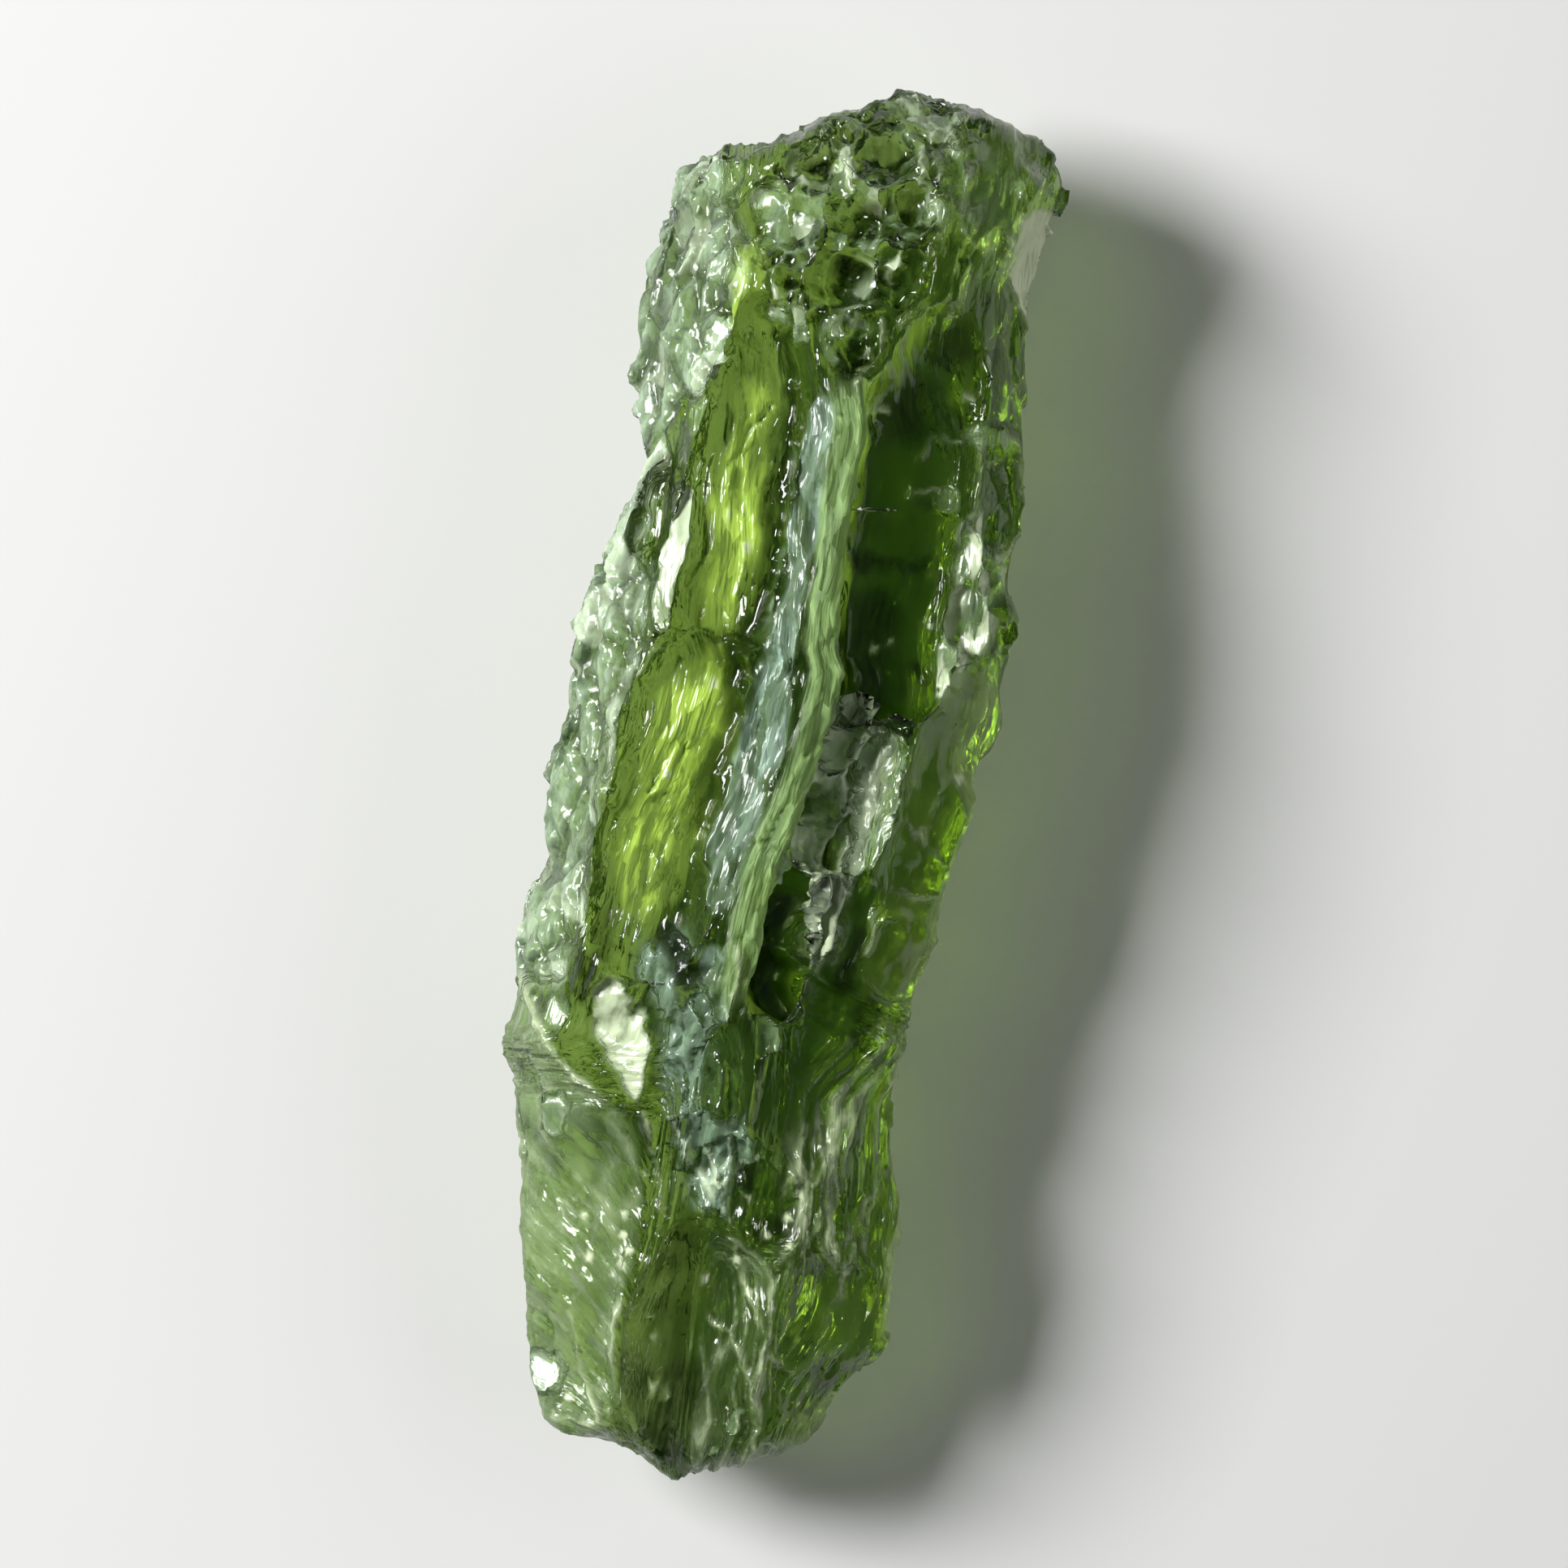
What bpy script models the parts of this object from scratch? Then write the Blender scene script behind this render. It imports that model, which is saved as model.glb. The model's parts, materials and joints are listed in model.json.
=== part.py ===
"""A moldavite: one natural rod of green glass, 40 mm long, lying on the small flat spot of its back.

Metres, +Z up. +Y runs along the stone to its broad, pitted head, +X is to the right as it is looked
down on, and the origin is under the middle of its box, on the surface that it rests on.

A sphere is pulled out to the stone's outline. Its upper face is then hollowed where etching left
flutes, pits and scars, its back is scalloped all over, and the spot that it rests on is cut flat.
"""

import math

import bmesh
import bpy
import numpy as np
from mathutils import Matrix, Vector, noise

# Places on the stone are in millimetres from the middle of its outline.
MM = 0.001

# The stone's overall size, which its outline is fitted to.
LENGTH = 39.9
WIDTH = 13.1

# The outline from the lower tip to the head: where the left and the right edge lie at each rib.
RIBS = [
    ((-0.3, -19.95), (-0.3, -19.95)),
    ((-1.5, -19.5), (1.2, -19.45)),
    ((-3.0, -19.1), (2.4, -18.95)),
    ((-4.15, -18.9), (3.4, -18.45)),
    ((-4.6, -18.2), (3.95, -17.85)),
    ((-4.9, -17.3), (4.5, -17.0)),
    ((-5.16, -16.3), (5.0, -16.1)),
    ((-5.35, -15.2), (5.27, -15.2)),
    ((-5.65, -13.9), (5.25, -14.0)),
    ((-5.87, -12.7), (5.2, -12.8)),
    ((-6.0, -11.6), (5.1, -11.6)),
    ((-6.25, -10.5), (4.75, -10.4)),
    ((-6.5, -9.4), (4.5, -9.2)),
    ((-7.03, -8.4), (4.45, -8.1)),
    ((-6.8, -7.2), (4.5, -7.0)),
    ((-6.95, -6.1), (4.65, -5.8)),
    ((-7.05, -5.0), (4.95, -4.7)),
    ((-6.95, -3.9), (5.2, -3.9)),
    ((-6.6, -2.6), (5.12, -2.8)),
    ((-6.65, -1.4), (5.4, -1.5)),
    ((-6.9, -0.4), (5.65, -0.3)),
    ((-6.65, 0.9), (5.75, 1.0)),
    ((-6.63, 2.1), (6.0, 2.5)),
    ((-6.7, 3.5), (5.88, 3.9)),
    ((-6.45, 4.8), (6.12, 5.5)),
    ((-6.1, 5.8), (5.8, 6.6)),
    ((-5.8, 7.0), (5.68, 7.7)),
    ((-5.42, 8.3), (5.72, 8.8)),
    ((-5.65, 9.5), (5.6, 9.9)),
    ((-5.95, 10.8), (5.45, 11.1)),
    ((-6.03, 12.2), (5.33, 12.4)),
    ((-6.08, 13.8), (5.1, 13.7)),
    ((-5.85, 15.0), (5.2, 15.1)),
    ((-5.6, 16.0), (5.5, 16.5)),
    ((-5.3, 16.9), (5.7, 17.6)),
    ((-4.3, 17.6), (5.5, 18.5)),
    ((-3.1, 18.0), (4.8, 19.1)),
    ((-2.0, 18.65), (3.7, 19.45)),
    ((-0.8, 19.15), (2.3, 19.75)),
    ((0.5, 19.95), (0.5, 19.95)),
]

# The stone from its side, as (y, height): the top of its back-bone, its widest line, and its belly,
# which dips just under the resting plane and lies a little right of the middle.
CREST = [(-19.95, 3.1), (-19.2, 4.6), (-17, 5.8), (-13, 6.9), (-8, 7.8), (-2, 8.4), (5, 8.7),
         (11, 8.6), (15.5, 8.1), (18.2, 6.9), (19.4, 5.4), (19.95, 4.1)]
WAIST = [(-19.95, 2.7), (-15, 3.1), (-8, 3.5), (0, 3.6), (8, 3.5), (15, 3.7), (19.95, 3.9)]
BELLY = [(-19.95, 2.4), (-19.2, 1.6), (-16, 0.75), (-11, 0.2), (-7, -0.1), (0, -0.25), (7, -0.1),
         (11, 0.2), (16, 1.0), (19.2, 2.2), (19.95, 3.6)]
BACK_ROUNDNESS = 2.1
FACE_ROUNDNESS = 2.2
BELLY_SHIFT = 1.2

# Above and below the widest line, the bumps of the outline wander by this many ribs. The wander grows
# over this share of the way up or down, is as coarse as this many ribs, and fades out at the tips.
RIB_WANDER = 1.6
RIB_WANDER_SIZE = 4.0
GIRTH_IN_RIBS = 4
WAIST_KEPT = 0.5
RIBS_IN_TIP = 5

# Each hollow is a path of (x, y, half its width) and the depth of its middle line. Where two hollows
# meet, the deeper one wins and a sharp crest is left between them.
FLUTES = [
    ([(-2.3, 12.4, 0.9), (-2.2, 10.8, 1.6), (-2.1, 7.5, 1.75), (-2.3, 5.0, 1.7)], 1.5),
    ([(-2.6, 2.7, 1.5), (-2.7, 0.8, 2.0), (-3.1, -2.2, 2.0), (-3.3, -4.5, 1.5)], 1.4),
    ([(2.9, 12.8, 1.1), (2.8, 10.8, 1.75), (2.75, 8.7, 1.75)], 1.4),
    ([(2.7, 6.9, 1.75), (2.7, 4.6, 1.7), (2.7, 3.2, 1.3)], 1.7),
    ([(2.2, 1.1, 1.1), (2.0, -1.3, 1.3)], 0.8),
    ([(0.65, -3.0, 0.6), (0.6, -4.4, 0.75), (0.55, -6.0, 0.65)], 1.2),
    ([(2.5, -3.2, 1.3), (2.3, -5.7, 1.6), (1.9, -9.5, 1.5)], 0.85),
    ([(-4.6, 15.0, 1.0), (-4.6, 11.4, 1.1)], 0.4),
]
SCARS = [
    ([(0.1, -13.9, 1.5), (-0.4, -16.2, 2.15), (-0.6, -18.4, 1.5)], 1.1),
    ([(3.4, -14.0, 1.2), (3.5, -16.2, 1.7)], 0.9),
    ([(-4.1, -11.5, 2.1), (-4.3, -14.5, 1.9), (-3.7, -17.4, 1.6)], 0.5),
    ([(3.7, -8.2, 1.1), (3.9, -11.2, 1.3)], 0.7),
    ([(-1.2, -10.9, 1.5), (1.2, -11.7, 1.4)], 0.7),
    ([(-3.6, -7.3, 1.7), (-1.9, -8.4, 1.4)], 1.0),
    ([(4.3, 1.3, 1.2), (4.2, -0.6, 1.4)], 0.75),
    ([(4.0, -2.3, 1.3)], 0.75),
    ([(3.9, -4.6, 1.5)], 0.85),
    ([(4.9, 5.8, 1.0), (4.9, 4.2, 1.0)], 0.75),
    ([(4.9, 9.8, 0.95), (4.8, 8.0, 0.9)], 0.7),
    ([(4.1, 13.0, 1.2), (3.9, 15.0, 1.2)], 0.65),
    ([(-4.4, 8.8, 0.8), (-4.6, 6.6, 0.7)], 0.7),
]
HEAD_PITS = [
    ([(0.6, 17.8, 1.0)], 0.9),
    ([(-0.2, 16.1, 0.95)], 0.9),
    ([(-0.2, 14.3, 1.1)], 1.0),
    ([(1.4, 16.2, 0.95)], 0.8),
    ([(1.3, 14.4, 0.9)], 0.7),
    ([(-1.5, 17.3, 0.95)], 0.7),
    ([(0.4, 12.7, 0.7)], 0.8),
    ([(3.4, 17.8, 1.5)], 0.6),
    ([(-2.4, 15.4, 1.2)], 0.7),
    ([(-4.2, 16.5, 1.0)], 0.5),
]
CHIP = [
    ([(5.1, 16.3, 0.75), (4.95, 15.4, 0.6), (5.05, 13.9, 0.25)], 0.7),
]

# A flute has a flatter floor and steeper walls than the other hollows, which are round.
FLUTE_FULLNESS = 2.7
ROUND_FULLNESS = 2

# The hollows' edges wander as etching wears them, and the hollows fade out over the stone's shoulder.
WANDER = 0.35
WANDER_SIZE = 2.6
SHOULDER = 0.35

# Scallops cover the stone: a size of cell in millimetres, how much longer than wide it is, its depth.
# A cell is hollow out to this share of its size, and its border wanders by this share of it.
FACE_SCALLOPS = (1.9, 2.4, 0.22)
BACK_SCALLOPS = (2.6, 1.8, 0.55)
SCALLOP_RADIUS = 0.65
SCALLOP_WANDER = 0.6

# The face's scallops give way to the back's from one share of the way up to another, and none are
# pressed into the flat spot's surroundings or the tips.
FACE_STARTS = 0.3
FACE_IS_FULL = 0.8
SPOT_HALF_LENGTH = 8.5
SPOT_HALF_WIDTH = 2.6
SPOT_BORDER = 0.7
TIP_LENGTH = 2.0

# The first sphere is fine enough to be carved, and is thinned out once it has been.
SEGMENTS_AROUND = 220
SEGMENTS_ALONG = 330
TRIANGLES = 9400

GLASS_GREEN = (0.16, 0.27, 0.06, 1.0)
GLASS_ROUGHNESS = 0.12


def read_curve(points, at):
    """Smooth curves through the points, whose first number rises, read at each of the places."""
    table = np.array(points, dtype=float)
    places = table[:, 0]
    values = table[:, 1:]
    slopes = np.gradient(values, places, axis=0)
    before = np.clip(np.searchsorted(places, at) - 1, 0, len(places) - 2)
    span = (places[before + 1] - places[before])[:, None]
    t = np.clip((at - places[before])[:, None] / span, 0, 1)
    start, end = values[before], values[before + 1]
    leave, arrive = slopes[before] * span, slopes[before + 1] * span
    cubic = (1 + 2 * t) * (1 - t) ** 2 * start + t * (1 - t) ** 2 * leave
    return cubic + t * t * (3 - 2 * t) * end + t * t * (t - 1) * arrive


def number_ribs(sphere):
    """Spreads the ribs evenly over the sphere's latitudes, and gives each point's place among them."""
    latitude = np.arcsin(np.clip(sphere[:, 1], -1, 1))
    return (latitude / math.pi + 0.5) * (len(RIBS) - 1)


def read_ribs(rib_number):
    """The left end's x and y and the right end's x and y of the outline at each place."""
    numbered = [(number, *left, *right) for number, (left, right) in enumerate(RIBS)]
    return read_curve(numbered, rib_number)


def round_power(value, roundness):
    """Bends a circle's sine or cosine towards a fuller section."""
    return np.sign(value) * np.abs(value) ** (2 / roundness)


def ease(value):
    """Goes from 0 to 1 with no corner at either end."""
    t = np.clip(value, 0, 1)
    return t * t * (3 - 2 * t)


def hollow_depth(x, y, hollows, fullness):
    """How deep the deepest of the hollows is at each place."""
    depth = np.zeros_like(x)
    for path, middle_depth in hollows:
        nearest = np.full_like(x, np.inf)
        for start, end in zip(path, path[1:] or path):
            along_x, along_y = end[0] - start[0], end[1] - start[1]
            length_squared = max(along_x ** 2 + along_y ** 2, 1e-9)
            t = np.clip(((x - start[0]) * along_x + (y - start[1]) * along_y) / length_squared, 0, 1)
            away = np.hypot(x - start[0] - t * along_x, y - start[1] - t * along_y)
            nearest = np.minimum(nearest, away / (start[2] + t * (end[2] - start[2])))
        depth = np.maximum(depth, middle_depth * (1 - np.minimum(nearest, 1) ** fullness))
    return depth


def make_sphere():
    """A unit sphere with its poles on Y, as a mesh to be shaped."""
    shape = bmesh.new()
    lay_down = Matrix.Rotation(math.radians(-90), 4, "X")
    bmesh.ops.create_uvsphere(
        shape,
        u_segments=SEGMENTS_AROUND,
        v_segments=SEGMENTS_ALONG,
        radius=1,
        matrix=lay_down,
    )
    return shape


def pull_to_outline(sphere):
    """Moves the sphere's points to the stone's ribs and profiles, the ribs wandering off its waist."""
    turn = np.arctan2(sphere[:, 2], sphere[:, 0])
    upward = np.sin(turn)
    rib_number = number_ribs(sphere)
    girth = np.stack((GIRTH_IN_RIBS / 2 * np.cos(turn), rib_number, GIRTH_IN_RIBS * upward), axis=1)
    wander = np.array([noise.noise(Vector(place)) for place in girth / RIB_WANDER_SIZE])
    tips_kept = ease(np.minimum(rib_number, len(RIBS) - 1 - rib_number) / RIBS_IN_TIP)
    rib = read_ribs(rib_number + RIB_WANDER * wander * tips_kept * ease(np.abs(upward) / WAIST_KEPT))
    roundness = np.where(upward > 0, FACE_ROUNDNESS, BACK_ROUNDNESS)
    across = 0.5 + 0.5 * round_power(np.cos(turn), roundness)
    x = rib[:, 0] + across * (rib[:, 2] - rib[:, 0])
    y = rib[:, 1] + across * (rib[:, 3] - rib[:, 1])
    rise = round_power(upward, roundness)
    x += BELLY_SHIFT * tips_kept * np.minimum(rise, 0) ** 2
    crest, waist, belly = (read_curve(profile, y)[:, 0] for profile in (CREST, WAIST, BELLY))
    z = waist + np.where(rise > 0, rise * (crest - waist), rise * (waist - belly))
    return np.stack((x, y, z), axis=1), upward


def scallop_depth(points, scallops):
    """Shell-shaped hollows side by side, with crests between them, as etching leaves them."""
    size, stretch, middle_depth = scallops
    depth = np.empty(len(points))
    for i, (x, y, z) in enumerate(points):
        place = Vector((x, y / stretch, z)) / size
        shift = noise.noise_vector(place * SCALLOP_WANDER) * SCALLOP_WANDER
        nearest = noise.voronoi(place + shift)[0][0]
        depth[i] = middle_depth * (1 - min(nearest / SCALLOP_RADIUS, 1) ** 2)
    return depth


def scallop(points, normals, upward):
    """Presses the scallops in all over, but for the flat spot and the tips."""
    from_spot = np.hypot((points[:, 0] - BELLY_SHIFT) / SPOT_HALF_WIDTH, points[:, 1] / SPOT_HALF_LENGTH)
    kept = np.where(upward < 0, ease((from_spot - 1) / SPOT_BORDER), 1)
    kept *= ease((LENGTH / 2 - np.abs(points[:, 1])) / TIP_LENGTH)
    face = ease((upward - FACE_STARTS) / (FACE_IS_FULL - FACE_STARTS))
    depth = face * scallop_depth(points, FACE_SCALLOPS) + (1 - face) * scallop_depth(points, BACK_SCALLOPS)
    return points - normals * (kept * depth)[:, None]


def keep_outline(points, sphere):
    """Widens each ring again to the outline, which the relief has pressed it in from."""
    rib_number = number_ribs(sphere)
    ring = np.unique(np.round(rib_number, 3), return_inverse=True)[1]
    low = np.full(ring.max() + 1, np.inf)
    high = np.full(ring.max() + 1, -np.inf)
    np.minimum.at(low, ring, points[:, 0])
    np.maximum.at(high, ring, points[:, 0])
    rib = read_ribs(rib_number)
    share = (points[:, 0] - low[ring]) / np.maximum((high - low)[ring], 1e-6)
    kept = points.copy()
    kept[:, 0] = rib[:, 0] + share * (rib[:, 2] - rib[:, 0])
    return kept


def hollow_face(points, upward):
    """Sinks the face's hollows straight down, which leaves them where they are seen from above."""
    wander = np.array([noise.noise_vector(Vector(point) / WANDER_SIZE) for point in points])
    x = points[:, 0] + WANDER * wander[:, 0]
    y = points[:, 1] + WANDER * wander[:, 1]
    flutes = hollow_depth(x, y, FLUTES, FLUTE_FULLNESS)
    round_hollows = hollow_depth(x, y, SCARS + HEAD_PITS + CHIP, ROUND_FULLNESS)
    sunk = points.copy()
    sunk[:, 2] -= ease(upward / SHOULDER) * np.maximum(flutes, round_hollows)
    return sunk


def fit_to_box(points):
    """Centres the outline and brings it to the stone's overall width and length."""
    low, high = points.min(axis=0), points.max(axis=0)
    middle = (low + high) / 2
    middle[2] = 0
    fit = np.array((WIDTH, LENGTH, 1)) / (*(high - low)[:2], 1)
    return (points - middle) * fit


def place_points(shape, points):
    """Gives the mesh its points in metres, and returns which way each one then faces."""
    for vertex, point in zip(shape.verts, points):
        vertex.co = point * MM
    shape.normal_update()
    return np.array([vertex.normal for vertex in shape.verts])


def make_stone_mesh():
    """The stone's outline, scalloped and then hollowed."""
    shape = make_sphere()
    sphere = np.array([vertex.co for vertex in shape.verts])
    points, upward = pull_to_outline(sphere)
    normals = place_points(shape, points)
    points = scallop(points, normals, upward)
    points = keep_outline(points, sphere)
    points = hollow_face(points, upward)
    place_points(shape, fit_to_box(points))
    mesh = bpy.data.meshes.new("moldavite")
    shape.to_mesh(mesh)
    shape.free()
    return mesh


def thin_out(stone):
    """Takes away the triangles that the shape can spare, which leaves them dense on the crests."""
    thinned = stone.modifiers.new("Thin out", "DECIMATE")
    thinned.decimate_type = "COLLAPSE"
    thinned.use_collapse_triangulate = True
    full_count = sum(len(face.vertices) - 2 for face in stone.data.polygons)
    thinned.ratio = TRIANGLES / full_count
    evaluated = stone.evaluated_get(bpy.context.evaluated_depsgraph_get())
    mesh = bpy.data.meshes.new_from_object(evaluated)
    stone.modifiers.clear()
    stone.data = mesh


def cut_flat_spot(stone):
    """Cuts the belly off at the resting plane and closes the cut with one flat face."""
    shape = bmesh.new()
    shape.from_mesh(stone.data)
    everything = shape.verts[:] + shape.edges[:] + shape.faces[:]
    cut = bmesh.ops.bisect_plane(
        shape,
        geom=everything,
        dist=1e-7,
        plane_co=(0, 0, 0),
        plane_no=(0, 0, -1),
        clear_outer=True,
    )
    rim = [piece for piece in cut["geom_cut"] if isinstance(piece, bmesh.types.BMEdge)]
    bmesh.ops.holes_fill(shape, edges=rim, sides=0)
    bmesh.ops.triangulate(shape, faces=shape.faces[:])
    bmesh.ops.recalc_face_normals(shape, faces=shape.faces[:])
    shape.to_mesh(stone.data)
    shape.free()


def make_glass():
    """Bottle-green natural glass."""
    glass = bpy.data.materials.new("moldavite glass")
    glass.use_nodes = True
    shader = glass.node_tree.nodes["Principled BSDF"]
    shader.inputs["Base Color"].default_value = GLASS_GREEN
    shader.inputs["Roughness"].default_value = GLASS_ROUGHNESS
    shader.inputs["Metallic"].default_value = 0.0
    shader.inputs["IOR"].default_value = 1.49
    return glass


def main():
    for old in list(bpy.data.objects):
        bpy.data.objects.remove(old)
    collection = bpy.data.collections.new("moldavite")
    bpy.context.scene.collection.children.link(collection)
    stone = bpy.data.objects.new("moldavite", make_stone_mesh())
    collection.objects.link(stone)
    thin_out(stone)
    cut_flat_spot(stone)
    stone.data.materials.clear()
    stone.data.materials.append(make_glass())


main()
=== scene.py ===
"""A moldavite lying on a pale table, looked straight down on, in soft light from its left."""

import json
import math

import bpy
import numpy as np
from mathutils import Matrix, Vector, noise

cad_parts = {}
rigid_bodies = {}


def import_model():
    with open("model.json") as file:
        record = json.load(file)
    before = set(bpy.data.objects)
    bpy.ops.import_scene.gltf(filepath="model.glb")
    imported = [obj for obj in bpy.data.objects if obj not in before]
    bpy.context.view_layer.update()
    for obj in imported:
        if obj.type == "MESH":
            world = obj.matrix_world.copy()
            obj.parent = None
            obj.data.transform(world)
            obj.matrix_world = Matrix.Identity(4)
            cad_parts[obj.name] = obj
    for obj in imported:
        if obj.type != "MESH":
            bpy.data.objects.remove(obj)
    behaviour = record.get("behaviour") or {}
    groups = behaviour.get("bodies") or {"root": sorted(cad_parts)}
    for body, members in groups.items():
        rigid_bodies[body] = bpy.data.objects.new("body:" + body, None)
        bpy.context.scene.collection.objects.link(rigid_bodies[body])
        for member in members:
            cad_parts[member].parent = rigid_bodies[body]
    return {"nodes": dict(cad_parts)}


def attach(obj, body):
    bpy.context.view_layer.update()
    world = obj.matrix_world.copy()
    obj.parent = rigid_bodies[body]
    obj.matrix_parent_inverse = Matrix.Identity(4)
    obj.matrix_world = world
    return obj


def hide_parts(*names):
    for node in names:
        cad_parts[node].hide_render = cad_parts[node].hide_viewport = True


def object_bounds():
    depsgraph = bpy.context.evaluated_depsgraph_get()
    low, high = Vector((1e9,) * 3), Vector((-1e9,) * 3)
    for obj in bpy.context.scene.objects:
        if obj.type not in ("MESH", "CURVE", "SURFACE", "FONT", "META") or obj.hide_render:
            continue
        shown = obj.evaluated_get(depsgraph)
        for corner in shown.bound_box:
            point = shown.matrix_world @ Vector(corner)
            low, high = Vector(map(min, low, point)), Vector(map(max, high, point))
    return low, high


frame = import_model()
cad_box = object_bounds()
bpy.ops.object.select_all(action="DESELECT")

# The camera
# It looks straight down on the stone, as the photograph looks at its face, and is turned a little, so
# that the stone's head leans to the right. Its field is as wide as the photograph's.
MM = 0.001
STONE_LEAN = math.radians(8)
FIELD_WIDTH = 43.9 * MM
CAMERA_HEIGHT = 300 * MM
FOCUS_HEIGHT = 5 * MM
STONE_SHIFT = 0.475 * MM

camera_data = bpy.data.cameras.new("camera")
camera_data.sensor_width = 36
camera_data.lens = 36 * (CAMERA_HEIGHT - FOCUS_HEIGHT) / FIELD_WIDTH
camera_data.clip_start = 10 * MM
camera_data.clip_end = 10
camera = bpy.data.objects.new("camera", camera_data)
camera.location = (STONE_SHIFT, 0, CAMERA_HEIGHT)
camera.rotation_euler = (0, 0, STONE_LEAN)
bpy.context.scene.collection.objects.link(camera)
bpy.context.scene.camera = camera

# The stone
# One lump of natural glass that splashed, froze and was then etched in wet ground for millions of years.
# Its outline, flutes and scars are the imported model's. Here its skin is etched finer: wrinkles, pits,
# strands along the flow of the melt, worn crests, and facets where flakes came off.
FINE_EDGE = 0.1 * MM
MOST_TRIANGLES = 190000

# Places on the face are read in millimetres from the middle of the photographed face, x to the right.
FACE_MIDDLE = 0.465


def copy_merged(node, name):
    """A copy of a node as one closed mesh, because a node's triangles are loose."""
    copied = bpy.data.objects.new(name, node.data.copy())
    bpy.context.scene.collection.objects.link(copied)
    bpy.context.view_layer.objects.active = copied
    copied.select_set(True)
    bpy.ops.object.mode_set(mode="EDIT")
    bpy.ops.mesh.select_all(action="SELECT")
    bpy.ops.mesh.remove_doubles(threshold=0.0005 * MM)
    bpy.ops.object.mode_set(mode="OBJECT")
    copied.data.materials.clear()
    return copied


def apply_modifier(piece, kind, **settings):
    """Adds a modifier with these settings to a piece and applies it."""
    modifier = piece.modifiers.new(kind.title(), kind)
    for name, value in settings.items():
        setattr(modifier, name, value)
    bpy.context.view_layer.objects.active = piece
    bpy.ops.object.modifier_apply(modifier=modifier.name)


def read_points(mesh):
    """A mesh's points in millimetres, and its normals."""
    points = np.empty(len(mesh.vertices) * 3, dtype=np.float32)
    mesh.vertices.foreach_get("co", points)
    normals = np.empty_like(points)
    mesh.vertices.foreach_get("normal", normals)
    return points.reshape(-1, 3).astype(float) / MM, normals.reshape(-1, 3).astype(float)


def write_points(mesh, points):
    """Gives a mesh its points, from millimetres."""
    mesh.vertices.foreach_set("co", (points * MM).astype(np.float32).ravel())
    mesh.update()


def ease(value):
    """Goes from 0 to 1 with no corner at either end."""
    t = np.clip(value, 0, 1)
    return t * t * (3 - 2 * t)


def blend(share, first, second):
    """Goes from the first value to the second as the share goes from 0 to 1."""
    return first + share * (second - first)


def sample_noise(points, size):
    """Smooth noise from about -1 to 1, with a feature size for each axis."""
    places = points / np.array(size)
    return np.array([noise.noise(Vector(place)) for place in places])


def sample_cells(points, size, twist=0.35):
    """Distance to the nearest of cells of this size, and how far each place is from their borders."""
    places = points / np.array(size)
    shifts = np.array([noise.noise_vector(Vector(place) * 0.8) for place in places])
    found = [noise.voronoi(Vector(place))[0][:2] for place in places + twist * shifts]
    nearest, second = np.array(found).T
    return nearest, second - nearest


def sample_facets(points, size, twist=0.3):
    """Height, in facet sizes, of a surface of flat facets that each lean their own way, and each one's tone."""
    places = points / np.array(size)
    places = places + twist * np.array([noise.noise_vector(Vector(place) * 0.8) for place in places])
    middles = np.array([noise.voronoi(Vector(place))[1][0] for place in places])
    leans = np.array([noise.cell_vector(Vector(middle) * 31.0) for middle in middles])
    return np.sum((places - middles) * (leans - 0.5), axis=1), leans[:, 0]


def keep_main_body(piece):
    """Deletes what isn't joined to a piece's highest point."""
    bpy.context.view_layer.objects.active = piece
    bpy.ops.object.mode_set(mode="EDIT")
    bpy.ops.mesh.select_mode(type="VERT")
    bpy.ops.mesh.select_all(action="DESELECT")
    bpy.ops.object.mode_set(mode="OBJECT")
    highest = max(piece.data.vertices, key=lambda vertex: vertex.co.z)
    highest.select = True
    bpy.ops.object.mode_set(mode="EDIT")
    bpy.ops.mesh.select_linked()
    bpy.ops.mesh.select_all(action="INVERT")
    bpy.ops.mesh.delete(type="VERT")
    bpy.ops.object.mode_set(mode="OBJECT")


def read_line(points, y):
    """The x of a line down the stone, given as (y, x) points, at each height y."""
    heights, places = np.array(points).T
    return np.interp(y, heights, places)


def find_stroke(x, y, strokes):
    """For each place its nearest stroke's place, share of the way along it, and distance in half widths."""
    distance = np.full_like(x, np.inf)
    middle_x = np.zeros_like(x)
    middle_y = np.zeros_like(x)
    for path in strokes:
        for start, end in zip(path, path[1:] or path):
            run_x, run_y = end[0] - start[0], end[1] - start[1]
            run_squared = max(run_x ** 2 + run_y ** 2, 1e-9)
            t = np.clip(((x - start[0]) * run_x + (y - start[1]) * run_y) / run_squared, 0, 1)
            step_x, step_y = start[0] + t * run_x, start[1] + t * run_y
            away = np.hypot(x - step_x, y - step_y) / (start[2] + t * (end[2] - start[2]))
            nearer = away < distance
            distance = np.where(nearer, away, distance)
            middle_x = np.where(nearer, step_x, middle_x)
            middle_y = np.where(nearer, step_y, middle_y)
    return distance, middle_x, middle_y


def nearness(x, y, strokes, widen=1.0):
    """How near each place is to the strokes: 1 on a middle line and 0 a half width away or more."""
    return np.maximum(1 - find_stroke(x, y, strokes)[0] / widen, 0)


def inside(x, y, strokes, border=0.35):
    """1 inside the strokes and 0 outside, with a soft border that is this share of the half width."""
    return ease((1 + border / 2 - find_stroke(x, y, strokes)[0]) / border)


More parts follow.
